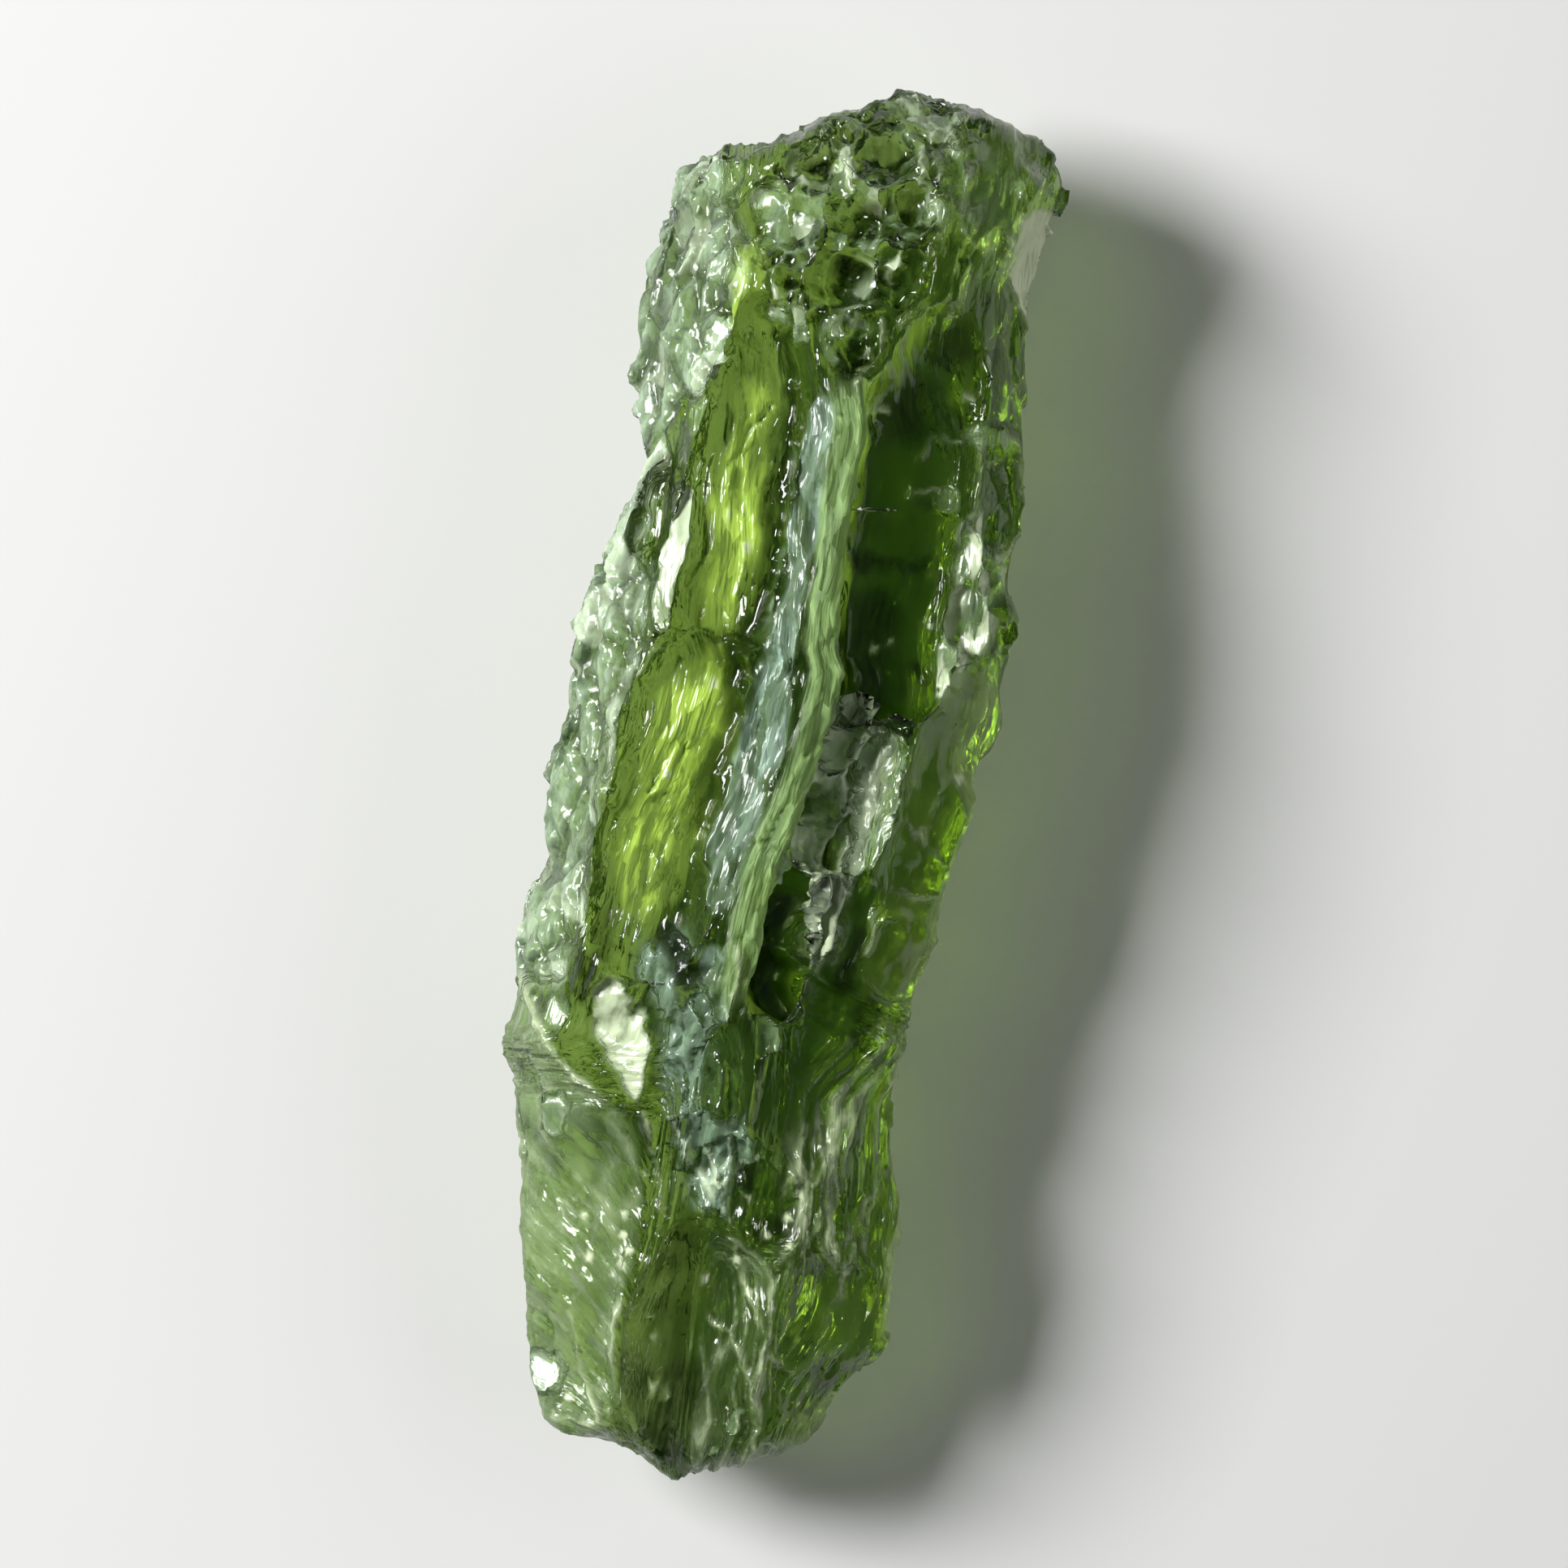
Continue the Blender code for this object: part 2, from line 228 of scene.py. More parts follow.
# Lines down the face, as (y, x): the crisp right edge of its ridge, the inner edge of its wrinkled left
# flank, the inner edge of its milky lower left, and the way that its lower right strands run.
RIDGE_EDGE = [(-7.5, -0.3), (-5, 0.0), (-3, 0.12), (-2, 0.25), (-0.5, 0.75), (1, 1.05), (3.2, 1.3), (3.8, 1.05),
              (5, 0.92), (6, 1.0), (8, 0.85), (10, 0.95), (11.5, 0.6), (12.5, 0.3)]
FROST_EDGE = [(-7.5, -6.2), (-6.2, -5.4), (-4.5, -5.1), (0, -5.0), (1.5, -4.7), (4, -4.2), (5.3, -4.4),
              (6.2, -4.9), (7.5, -4.6), (10, -4.5), (11, -3.3), (12, -3.1), (13, -3.5), (15, -3.2), (18, -4.6)]
MILK_EDGE = [(-19.9, -0.4), (-18.6, -1.7), (-17.2, -2.4), (-15.8, -2.6), (-14, -2.4), (-12, -2.3), (-10.2, -2.7),
             (-9.4, -3.6), (-8.5, -5.0), (-7.5, -5.8), (-6.3, -6.7)]
STRAND_LINE = [(-19, 2.0), (-15, 3.3), (-13.2, 3.4), (-12.5, 3.1), (-10, 2.8), (-8.5, 2.7), (-7.4, 3.5),
               (-6, 4.5), (-5, 4.9)]
SCAR_RIGHT = [(-19.6, 1.4), (-18, 1.9), (-17, 1.6), (-15, 1.75), (-13.7, 1.5), (-12.5, 0.2)]
WINDOW_RIGHT = [(1.5, 2.9), (2.5, 3.3), (4, 3.2), (6, 3.6), (8, 3.9), (10, 3.6), (11, 5.2), (14, 5.0), (16, 4.0)]
TIP = (-0.4, -19.9)

# Fields and marks on the face, as strokes of (x, y, half width).
HEAD_FIELD = [
    [(0.3, 12.3, 0.9), (0.1, 14.3, 1.9), (0.0, 16.5, 2.4), (0.4, 18.2, 2.2)],
    [(-2.4, 16.2, 0.9), (-1.6, 13.4, 0.9)],
]
NETWORK_FIELD = [[(2.0, 1.6, 0.9), (1.7, -1.0, 1.0), (1.5, -4.4, 0.7)]]
FOOT_FIELD = [[(-2.6, -5.2, 0.9), (-1.6, -7.2, 0.9), (-1.2, -8.6, 1.1), (-0.5, -10.4, 1.3), (-0.2, -12.1, 0.5)]]
SCAR_FIELD = [[(-0.4, -13.4, 1.3), (-0.5, -15.4, 1.95), (-0.6, -17.4, 1.7), (-0.3, -19.2, 0.7)]]
STRAND_FIELD = [[(3.9, -6.6, 0.7), (3.0, -8.6, 1.3), (3.0, -10.8, 1.5), (3.2, -13.0, 1.4)]]
SIDE_FIELD = [[(4.8, 3.3, 0.9), (4.5, 0.5, 1.2), (4.2, -2.4, 1.1), (3.9, -4.6, 1.2)]]
LOBE_FIELD = [[(-0.6, -7.3, 0.5), (-0.5, -8.8, 0.7)]]
# Painted light on the thin floors of the flutes, where light comes through the glass; the second list paints the most.
FLUTE_PAINTED_GLOW = [
    [(-2.5, 11.8, 0.7), (-2.5, 10.0, 0.85), (-2.4, 8.0, 0.8), (-2.5, 6.0, 1.0), (-2.7, 4.2, 1.0)],
    [(-2.7, 3.0, 0.8), (-3.0, 1.2, 1.2), (-3.5, -1.0, 1.3), (-3.7, -3.4, 1.0)],
    [(-2.9, 14.4, 0.4), (-2.9, 12.6, 0.45)],
]
FLUTE_PAINTED_BRIGHT = [
    [(-2.6, 11.0, 0.45), (-2.4, 8.6, 0.5), (-2.3, 6.2, 0.6), (-2.6, 4.4, 0.6)],
    [(-2.75, 1.9, 0.6), (-2.75, 0.9, 0.65)],
    [(-3.0, 0.4, 0.35), (-3.3, -2.0, 0.2), (-3.3, -3.6, 0.2)],
]
# Painted shade in and beside the flutes. The first two strokes also mark the steep walls under the ridge.
FLUTE_PAINTED_SHADE = [
    [(-1.4, 10.6, 0.35), (-1.45, 8.0, 0.45), (-1.45, 5.0, 0.4), (-1.5, 4.2, 0.35)],
    [(-1.8, 3.3, 0.5), (-1.8, 2.2, 0.55), (-2.1, 0.6, 0.45), (-2.3, -1.2, 0.4)],
    [(-4.4, 7.6, 0.3), (-4.6, 8.5, 0.25)],
    [(-3.7, 4.1, 0.25), (-3.5, 4.6, 0.15)],
    [(-4.2, -4.0, 0.35), (-4.4, -5.4, 0.35)],
    [(-2.8, -4.6, 0.4), (-1.8, -5.6, 0.4)],
    [(-4.8, -5.6, 0.25), (-4.6, -6.6, 0.25)],
]
# Painted shade: dark patches in the window right of the ridge, in the scar and on the lower right.
PAINTED_SHADE_PATCHES = [
    [(2.5, 11.2, 0.65), (2.4, 10.3, 0.75)],
    [(1.9, 6.5, 0.3), (3.1, 6.6, 0.35)],
    [(2.1, 5.2, 0.7), (2.1, 4.0, 0.85), (2.3, 2.9, 0.7)],
    [(3.2, 3.7, 0.35)],
    [(2.7, -4.0, 0.45), (2.5, -5.2, 0.45)],
    [(3.2, -6.0, 0.5), (3.3, -7.0, 0.3)],
    [(3.4, 12.8, 0.8)],
    [(2.0, -12.2, 0.6), (1.2, -12.4, 0.5)],
    [(0.5, -11.0, 0.45)],
    [(-0.7, -16.9, 0.8), (-0.8, -18.0, 0.9), (-0.6, -19.0, 0.5)],
    [(3.6, -16.0, 0.35), (3.1, -17.2, 0.4)],
]
# Painted light: lit rims and patches on the right, where light that came through the glass leaves it.
SIDE_PAINTED_GLOW = [
    [(4.3, -3.4, 0.7), (4.2, -4.8, 0.6)],
    [(4.9, -11.4, 0.4), (5.0, -13.0, 0.35), (4.9, -15.2, 0.35)],
    [(5.0, 3.0, 0.35), (4.8, 1.0, 0.3)],
    [(4.2, -17.0, 0.6), (3.0, -18.2, 0.5)],
    [(4.4, -9.0, 0.2), (4.5, -7.0, 0.2)],
]
# The blue strip: a slope up to the ridge, whose blue-grey is a painted reflection.
BLUE_STRIP = [
    [(-0.4, 10.4, 0.45), (-0.55, 9.0, 0.4), (-0.5, 7.0, 0.48), (-0.6, 5.0, 0.45), (-0.65, 3.6, 0.45)],
    [(-0.7, 2.9, 0.6), (-0.85, 1.2, 0.62), (-1.15, 0.0, 0.6), (-1.35, -2.2, 0.6), (-1.4, -3.5, 0.4)],
    [(-1.25, -5.2, 0.5), (-1.05, -6.6, 0.45)],
]
HEAD_PITS = [
    [(0.6, 17.8, 0.62)], [(0.0, 16.1, 0.5)], [(-0.2, 14.45, 0.8)], [(1.3, 16.3, 0.45)],
    [(0.5, 12.3, 0.42), (0.55, 11.7, 0.2)], [(-0.9, 18.3, 0.35)], [(-1.0, 14.6, 0.35)],
    [(0.9, 15.0, 0.35)], [(1.9, 17.3, 0.4)], [(-1.5, 17.4, 0.5)], [(1.2, 13.8, 0.35)], [(1.2, 18.6, 0.4)],
    [(-2.1, 14.0, 0.3)], [(-0.9, 12.9, 0.3)], [(-1.9, 12.6, 0.3)], [(-2.7, 16.8, 0.3)],
]
NETWORK_PITS = [
    [(1.25, 0.1, 0.12), (1.25, -0.6, 0.2)], [(0.8, -1.3, 0.26)], [(1.7, -1.2, 0.15), (1.8, -1.8, 0.26)],
    [(0.6, -3.2, 0.5), (0.55, -4.6, 0.6), (0.45, -5.5, 0.5), (0.8, -6.1, 0.35)],
    [(1.5, -4.5, 0.2)], [(1.9, 0.7, 0.14)], [(2.9, 2.1, 0.3), (3.4, 1.7, 0.3)],
]
CRESTS = [
    [(4.5, -6.0, 0.13), (3.5, -7.4, 0.14), (2.7, -8.5, 0.15), (2.8, -10, 0.14), (3.1, -12.5, 0.13),
     (3.4, -13.3, 0.1)],
    [(4.4, -6.6, 0.11), (3.8, -7.5, 0.12), (3.4, -8.3, 0.13), (3.2, -9.5, 0.11), (3.3, -11.0, 0.09)],
    [(4.4, -10.3, 0.12), (3.8, -11.5, 0.13), (3.7, -12.8, 0.11), (3.5, -13.6, 0.1)],
    [(4.2, -10.6, 0.1), (4.05, -11.8, 0.1)],
    [(2.0, -9.4, 0.1), (1.9, -10.8, 0.12)],
    [(2.7, -10.2, 0.11), (2.45, -11.0, 0.11)],
    [(2.2, -11.7, 0.1), (2.2, -12.6, 0.1), (1.7, -13.3, 0.1)],
    [(2.9, -11.5, 0.1), (2.3, -12.9, 0.09)],
    [(-2.5, -14.9, 0.12), (-2.6, -15.8, 0.1), (-2.4, -17.2, 0.1), (-1.6, -18.7, 0.12), (-0.35, -19.9, 0.12)],
    [(0.3, -12.7, 0.11), (0.9, -13.1, 0.12), (1.5, -13.7, 0.14), (1.75, -15, 0.14), (1.6, -17, 0.14),
     (1.9, -18, 0.13), (1.5, -19.2, 0.12)],
    [(0.5, -12.9, 0.1), (1.0, -14.3, 0.11), (1.5, -15.2, 0.11)],
    [(0.0, -15.1, 0.1), (0.6, -15.4, 0.11), (1.1, -16.2, 0.11), (1.5, -17.0, 0.1)],
    [(-3.9, -15.5, 0.09), (-3.2, -17.3, 0.11), (-2.6, -18.4, 0.11), (-1.5, -18.8, 0.12)],
    [(-3.9, -18.5, 0.1), (-2.6, -18.6, 0.11), (-1.5, -18.8, 0.12), (-0.4, -19.9, 0.12)],
    [(3.65, -13.3, 0.12), (3.35, -14.8, 0.12), (3.0, -16, 0.11), (2.6, -16.3, 0.1), (1.9, -15.9, 0.1)],
    [(-6.6, -6.3, 0.12), (-5.6, -8, 0.13), (-5, -8.5, 0.14), (-4.2, -9.1, 0.16), (-3.6, -9.4, 0.14)],
    [(-6.8, -6.2, 0.1), (-6.2, -7.2, 0.1), (-5.4, -8.2, 0.1)],
    [(2.6, 9.5, 0.1), (2.8, 10.1, 0.13), (3.5, 10.2, 0.1)],
    [(2.4, 8.4, 0.1), (3.0, 8.7, 0.1), (3.7, 8.7, 0.12)],
    [(4.15, 10.2, 0.14), (4.3, 8.8, 0.1), (4.1, 7.6, 0.1)],
    [(5.2, 10.6, 0.1), (5.3, 9.4, 0.12), (5.6, 8.7, 0.12)],
    [(5.6, 7.9, 0.1), (5.1, 7.0, 0.12), (4.7, 6.2, 0.15)],
    [(3.4, -0.5, 0.1), (4.2, -1.1, 0.11), (5.0, -1.8, 0.1)],
    [(2.8, -2.4, 0.1), (4.1, -2.65, 0.11), (4.9, -2.5, 0.1)],
    [(3.0, -3.2, 0.1), (3.1, -4.4, 0.1)],
    [(-4.4, 2.3, 0.1), (-4.1, 3.1, 0.1), (-3.6, 3.5, 0.1)],
    [(1.2, 3.4, 0.16), (1.45, 3.2, 0.14)],
    [(1.1, -2.3, 0.15), (2.0, -2.4, 0.2), (1.9, -3.3, 0.12), (1.8, -4.6, 0.12)],
    [(1.6, -2.6, 0.14), (1.3, -3.8, 0.12), (1.1, -4.3, 0.1)],
    [(1.4, -1.0, 0.1), (1.3, -1.7, 0.1), (1.7, -2.2, 0.1)],
    [(2.05, -1.0, 0.09), (2.0, -2.2, 0.1)],
    [(1.4, 17.9, 0.1), (1.5, 17.3, 0.1)],
    [(-0.8, 17.5, 0.12), (-0.4, 16.5, 0.1)],
    [(-0.6, 14.7, 0.08), (0.0, 14.7, 0.1), (0.5, 14.4, 0.08)],
    [(0.9, 13.2, 0.1), (0.95, 12.2, 0.1), (0.6, 11.3, 0.1)],
    [(1.9, 16.6, 0.16), (2.1, 16.2, 0.12)],
    [(2.8, 17.6, 0.1), (2.7, 16.2, 0.1), (3.1, 15.6, 0.08)],
    [(4.2, 15.9, 0.1), (4.3, 15.0, 0.1), (5.0, 13.7, 0.1)],
    [(-2.1, 13.6, 0.14), (-2.1, 12.9, 0.12)],
    [(-1.4, 13.4, 0.14), (-1.4, 12.4, 0.13)],
    [(-0.35, 13.0, 0.1), (-0.3, 12.4, 0.15)],
    [(-0.7, -4.6, 0.1), (-0.45, -5.6, 0.1), (-0.7, -6.8, 0.08)],
    [(-1.8, -9.6, 0.1), (-1.1, -10.8, 0.12), (-0.4, -11.7, 0.1)],
    [(-0.2, -9.9, 0.08), (0.0, -10.5, 0.1), (-0.5, -11.3, 0.08)],
    [(0.9, -10.4, 0.08), (0.3, -10.8, 0.1), (-0.2, -11.4, 0.08)],
    [(-0.7, -10.4, 0.08), (-0.3, -11.2, 0.1), (0.1, -12.1, 0.08)],
    [(-2.6, -9.6, 0.1), (-2.0, -10.9, 0.1), (-1.6, -12.4, 0.1)],
]
CRACKS = [
    [(-1.75, 10.5, 0.05), (-2.0, 9.95, 0.06), (-2.3, 9.5, 0.07), (-2.45, 9.0, 0.06), (-2.75, 8.6, 0.05)],
    [(-4.3, 3.6, 0.06), (-3.4, 3.85, 0.07), (-2.4, 3.75, 0.09), (-1.9, 3.9, 0.07), (-1.3, 3.8, 0.06)],
    [(-0.35, 3.4, 0.06), (-0.2, 2.8, 0.06)],
    [(3.3, 15.4, 0.07), (3.0, 15.1, 0.07)],
    [(-3.9, 12.9, 0.12), (-3.4, 12.6, 0.08)],
]

# The flutes' floors fall to the right, to a steep wall under the ridge, and the blue strip rises to it.
FLUTE_FLOORS = [
    [(-2.3, 11.6, 0.8), (-2.25, 9.5, 1.05), (-2.2, 7.0, 1.1), (-2.3, 4.6, 1.1)],
    [(-2.7, 2.9, 0.95), (-2.8, 1.0, 1.25), (-3.25, -1.6, 1.2), (-3.5, -4.0, 1.0)],
]
FLOOR_RISE = -0.15
STRIP_RISE = 0.55
# Facets are where a flake came off. Each is a stroke and how milky it is, and they all lean to the left.
# Where the milkiness is above 1 the facet is also painted pale, a painted highlight.
FACETS = [
    ([(-4.0, -6.5, 0.4), (-3.6, -7.3, 0.65), (-3.2, -8.0, 0.55), (-2.9, -8.9, 0.25)], 1.4),
    ([(-2.6, 16.0, 0.35), (-2.3, 15.1, 0.3)], 0.7),
    ([(-3.7, 7.7, 0.12), (-3.85, 6.4, 0.3), (-4.0, 5.0, 0.32), (-4.1, 4.1, 0.25)], 1.2),
    ([(-3.6, 8.6, 0.15), (-3.6, 8.1, 0.15)], 0.6),
    ([(-3.8, 10.3, 0.2), (-3.8, 9.4, 0.2)], 0.6),
    ([(-3.6, 12.4, 0.25), (-3.5, 11.6, 0.4)], 0.8),
    ([(-4.1, 16.6, 0.5)], 0.8),
    ([(-3.8, 14.0, 0.4)], 0.8),
    ([(-2.0, 12.9, 0.2), (-2.0, 12.3, 0.18)], 0.7),
    ([(-1.4, 13.0, 0.15), (-1.3, 12.3, 0.2)], 0.8),
    ([(-0.3, 12.6, 0.25)], 0.8),
    ([(-0.5, 15.2, 0.25)], 0.7),
    ([(1.0, 14.9, 0.3)], 0.7),
    ([(2.0, 16.4, 0.3)], 0.7),
    ([(-0.9, 17.2, 0.2), (-0.6, 16.6, 0.25)], 0.7),
    ([(2.3, 18.0, 0.3), (2.5, 17.2, 0.25)], 0.6),
    ([(2.75, 1.0, 0.5), (2.75, -0.6, 0.5), (2.45, -1.9, 0.3)], 0.9),
    ([(1.9, 1.7, 0.35), (1.7, 1.0, 0.3)], 0.7),
    ([(3.2, 0.7, 0.15)], 0.5),
    ([(1.85, -2.8, 0.3), (1.8, -3.8, 0.28), (1.7, -4.6, 0.18)], 0.8),
    ([(0.3, -2.15, 0.15), (0.2, -2.7, 0.15)], 0.9),
    ([(4.3, 7.6, 0.2), (4.3, 6.6, 0.45)], 0.8),
    ([(4.95, 6.4, 0.3)], 0.9),
    ([(4.5, 5.7, 0.5), (4.6, 4.8, 0.55)], 0.85),
    ([(4.0, 4.3, 0.35), (4.0, 3.4, 0.28)], 0.75),
    ([(4.0, 10.4, 0.3), (4.8, 10.4, 0.35)], 0.8),
    ([(3.5, 8.5, 0.3)], 0.7),
    ([(0.55, -6.8, 0.3), (0.7, -7.2, 0.28)], 0.8),
    ([(-4.4, -17.3, 0.5)], 0.9),
    ([(-5.1, -9.8, 0.35), (-5.1, -10.4, 0.3)], 0.8),
    ([(-5.5, -7.2, 0.35)], 0.7),
    ([(1.2, -17.6, 0.15), (1.1, -18.0, 0.15)], 0.8),
    ([(0.6, -18.8, 0.12)], 0.8),
]
FACET_RISE_RIGHT = 0.49
FACET_RISE_UP = -0.12
# The chip on the head's right edge is a smooth lens.
CHIP = [[(5.15, 16.1, 0.75), (4.95, 15.4, 0.6), (5.05, 14.2, 0.22)]]
# Painted sheen: pale patches on the right flank where its slopes catch the light.
PAINTED_SHEEN_FIELD = [[(4.3, 7.9, 0.4), (4.7, 6.2, 0.8), (4.6, 4.8, 0.75), (4.0, 3.2, 0.4)]]
HAZE_FIELD = [[(2.7, 18.0, 0.7), (3.5, 17.0, 1.0), (4.0, 15.2, 0.5)]]
# Rims that fade out, and floors that are smooth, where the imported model's are crisp.
SOFT_RIMS = [
    [(0.9, 12.0, 0.5), (1.4, 13.4, 0.9), (3.0, 14.2, 1.1), (4.4, 13.0, 0.9), (4.5, 10.6, 0.6)],
    [(-0.5, -13.2, 1.0), (-0.7, -15.5, 1.1), (-0.7, -17.5, 1.0)],
    [(5.3, 16.3, 0.7), (5.2, 14.4, 0.4)],
]
SOFT_PASSES = 150

stone = copy_merged(frame["nodes"]["moldavite"], "moldavite_stone")
apply_modifier(stone, "REMESH", mode="VOXEL", voxel_size=FINE_EDGE)
keep_main_body(stone)
apply_modifier(stone, "SMOOTH", factor=0.5, iterations=6)
points, normals = read_points(stone.data)
softness = (normals[:, 2] > 0) * inside(points[:, 0] - FACE_MIDDLE, points[:, 1], SOFT_RIMS, 0.8)
soft_rims = stone.vertex_groups.new(name="soft_rims")
for index in np.flatnonzero(softness > 0):
    soft_rims.add([int(index)], float(softness[index]), "REPLACE")
apply_modifier(stone, "SMOOTH", factor=0.5, iterations=SOFT_PASSES, vertex_group="soft_rims")
points, normals = read_points(stone.data)
x, y = points[:, 0] - FACE_MIDDLE, points[:, 1]
face = ease((normals[:, 2] + 0.15) / 0.45)
top = face > 0.5
ragged_x = x + 0.16 * sample_noise(points, (0.35, 0.5, 0.35))
ragged_y = y + 0.22 * sample_noise(points + 50.0, (0.35, 0.5, 0.35))

# Each floor, strip and facet is a plane sunk a little under the height of the stone along its stroke.
SUNK = 0.08
planes = [(path, FLOOR_RISE, 0.0, 0.0) for path in FLUTE_FLOORS]
planes += [(path, STRIP_RISE, 0.0, 0.0) for path in BLUE_STRIP]
planes += [(path, FACET_RISE_RIGHT, FACET_RISE_UP, milk) for path, milk in FACETS]
facet_milk = np.zeros_like(x)
facet_share = np.zeros_like(x)
lifted = points[:, 2].copy()
for path, rise_right, rise_up, milk in planes:
    distance, middle_x, middle_y = find_stroke(ragged_x, ragged_y, [path])
    near = np.flatnonzero((distance < 1.4) & top)
    heights = []
    for stop_x, stop_y, _ in path:
        at = np.argmin(np.hypot(x[top] - stop_x, y[top] - stop_y))
        heights.append((stop_y, points[top, 2][at]))
    middle_height = read_line(sorted(heights), middle_y[near])
    plane = middle_height - SUNK + rise_right * (x[near] - middle_x[near]) + rise_up * (y[near] - middle_y[near])
    share = ease((1.25 - distance[near]) / 0.25)
    lifted[near] += share * np.clip(plane - lifted[near], -0.8, 0.8)
    facet_milk[near] = np.maximum(facet_milk[near], milk * share)
    facet_share[near] = np.maximum(facet_share[near], share * (milk > 0))
points[:, 2] = lifted
write_points(stone.data, points)
apply_modifier(stone, "SMOOTH", factor=0.5, iterations=2)
points, normals = read_points(stone.data)
x, y = points[:, 0] - FACE_MIDDLE, points[:, 1]

# The flow of the melt: how far across it and how far along it each place is.
wander = 0.35 * sample_noise(points, (2.4, 4.5, 2.4))
across = x - read_line(RIDGE_EDGE, y) + wander
along = y.copy()
below = ease((-5.0 - y) / 2.0)
right_low = below * ease((x - 0.6) / 1.0)
across = blend(right_low, across, x - read_line(STRAND_LINE, y) + wander)
milky_low = face * ease((read_line(MILK_EDGE, y) - x) / 0.5 + 0.5) * ease((-6.0 - y) / 0.6)
to_tip = np.arctan2(x - TIP[0], y - TIP[1])
from_tip = np.hypot(x - TIP[0], y - TIP[1])
left_low = ease((-7.5 - y) / 2.5) * ease((-1.2 - x) / 1.0)
across = blend(left_low, across, 7.0 * (to_tip + 0.05 * from_tip) + wander)
along = blend(left_low, along, from_tip)
scar_side = ease((-12.4 - y) / 1.0) * ease((x + 0.6) / 0.8) * ease((2.2 - x) / 0.5)
across = blend(scar_side, across, 1.3 * (x - read_line(SCAR_RIGHT, y)))
flow = np.stack((across, along, 0.15 * points[:, 2]), axis=1)

# The wrinkled flank: lobes longer than wide, with narrow dark creases between them.
ragged_edge = read_line(FROST_EDGE, y) + 0.5 * sample_noise(points, (0.6, 1.6, 0.6))
frost = face * ease((ragged_edge - x) / 0.7 + 0.5) * ease((y + 7.2) / 1.2)
border = sample_cells(points, (0.6, 1.1, 0.6), 0.7)[1]
nearest_wide, border_wide = sample_cells(points, (1.5, 2.6, 1.5), 0.7)
wrinkles = 1 - ease(border / 0.32)
lobes = 1 - ease(border_wide / 0.3)
depth = frost * (0.06 * wrinkles + 0.16 * lobes + 0.08 * nearest_wide)

# Masks on the face wander a little, so that no zone ends in a ruled line.
fine_drift = sample_noise(points, (0.4, 0.5, 0.4))
fine_drift_y = sample_noise(points + 50.0, (0.4, 0.5, 0.4))
soft_x = x + 0.30 * sample_noise(points, (1.1, 1.4, 1.1)) + 0.12 * fine_drift
soft_y = y + 0.35 * sample_noise(points + 50.0, (1.1, 1.4, 1.1)) + 0.12 * fine_drift_y
fine_x, fine_y = x + 0.13 * fine_drift, y + 0.13 * fine_drift_y
blotches = sample_noise(points, (0.9, 1.3, 0.9))

# Pits crowd the head, the patch right of the ridge, and the foot of the flutes.
inner = ease((normals[:, 2] - 0.15) / 0.3)
head = face * inner * inside(soft_x, soft_y, HEAD_FIELD, 0.4)
haze = face * inside(soft_x, soft_y, HAZE_FIELD, 0.8) * (1 - head)
network = face * inside(soft_x, soft_y, NETWORK_FIELD, 0.6)
foot = face * inside(soft_x, soft_y, FOOT_FIELD, 0.7)
near_pit, pit_border = sample_cells(points, (1.05, 1.25, 1.05), 0.6)
near_small_pit, small_pit_border = sample_cells(points, (0.46, 0.52, 0.46), 0.8)
bowl = 1 - np.minimum(near_pit / 0.6, 1) ** 2
small_bowl = 1 - np.minimum(near_small_pit / 0.6, 1) ** 2
near_long, long_border = sample_cells(flow, (0.38, 1.15, 1.0), 0.5)
long_bowl = 1 - np.minimum(near_long / 0.62, 1) ** 2
long_walls = 1 - ease(long_border / 0.3)
blue_strip = face * inside(soft_x, y, BLUE_STRIP, 0.7)
depth += head * (0.22 * bowl + 0.05 * small_bowl)
depth += (0.24 * network + 0.2 * foot + 0.12 * blue_strip) * long_bowl
flute_wall = face * inside(soft_x, soft_y, FLUTE_PAINTED_SHADE[:2], 0.8) * (1 - blue_strip)
deep_pits = face * ease(1.2 * nearness(soft_x, soft_y, HEAD_PITS + NETWORK_PITS))
depth += (0.5 - 0.2 * head) * deep_pits

# Strands and grooves run along the flow, strongest in the flutes and on the lower right.
scar = face * inside(x, y, SCAR_FIELD, 0.25) * (1 - 0.85 * scar_side)
window = ease((soft_x - read_line(RIDGE_EDGE, y) - 0.1) / 0.3) * ease((read_line(WINDOW_RIGHT, y) - soft_x) / 0.4)
window *= face * ease((soft_y - 1.6) / 0.8) * ease((15.6 - soft_y) / 1.2)
side_window = face * inside(soft_x, soft_y, SIDE_FIELD, 0.5)
clear = np.maximum(window, side_window)
lobe = face * inside(x, y, LOBE_FIELD, 0.4)
smooth = np.maximum(np.maximum(scar, clear), lobe)
strand_share = face * inside(x, y, STRAND_FIELD, 0.6)
groove = sample_noise(flow, (0.26, 2.6, 1.0))
fine_groove = sample_noise(flow, (0.15, 1.2, 1.0))
strands = 1 - np.abs(sample_noise(flow, (0.42, 4.0, 1.0))) / 0.35
strands = np.clip(strands, 0, 1) ** 2
busy = face * (1 - 0.85 * smooth + 0.25 * window) * (1 - 0.6 * head) * (1 - 0.7 * frost) * (1 - 0.6 * milky_low)
busy *= 1 - 0.7 * flute_wall
depth += busy * (0.055 * (1 - groove) + 0.03 * (1 - fine_groove))
depth += 0.02 * milky_low * (1 - fine_groove)
depth -= (0.10 * strand_share + 0.05 * face * scar_side * (1 - strand_share)) * strands

